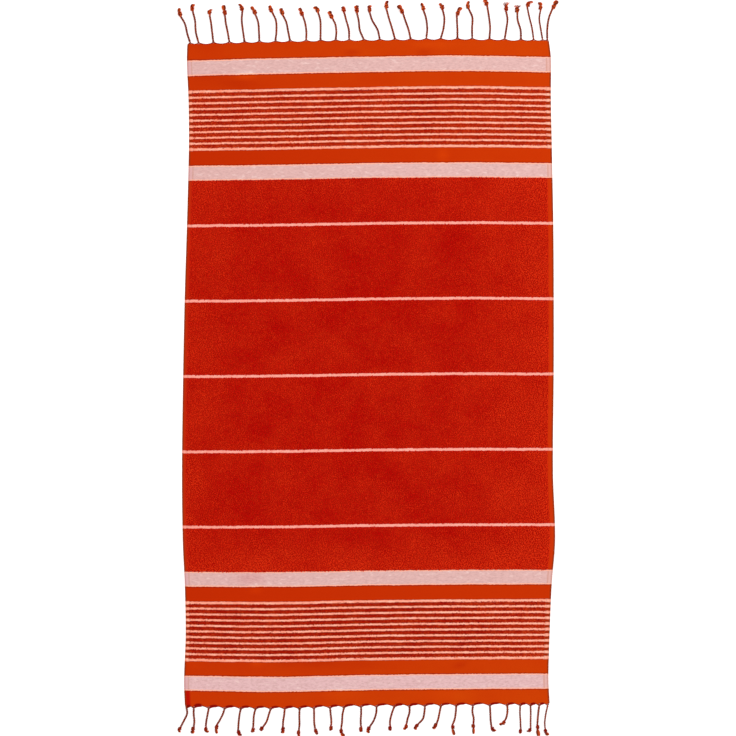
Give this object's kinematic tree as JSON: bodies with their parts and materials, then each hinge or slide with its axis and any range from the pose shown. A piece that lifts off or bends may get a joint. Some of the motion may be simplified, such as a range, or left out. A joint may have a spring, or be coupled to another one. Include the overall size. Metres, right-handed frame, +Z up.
{
  "type": "beach towel",
  "caption": "Flat rectangular beach towel with a terry middle, flat-woven striped end bands and a knotted string fringe along each short end.",
  "frame": {"origin": "middle of the towel's outline, fringes included, on the surface that it lies on", "axes": "+Y along the towel towards the end with the longer strings, +X across it, +Z up from the surface"},
  "size_m": [0.9279, 1.7971, 0.0082],
  "materials": {
    "cotton_cloth": "red cotton terry with flat-woven orange and pale pink bands, matt",
    "cotton_yarn": "two-ply twisted orange-red cotton yarn, matt"
  },
  "bodies": {
    "root": {"towel_cloth": "cotton_cloth", "fringe_top": "cotton_yarn", "fringe_bottom": "cotton_yarn"}
  },
  "joints": []
}
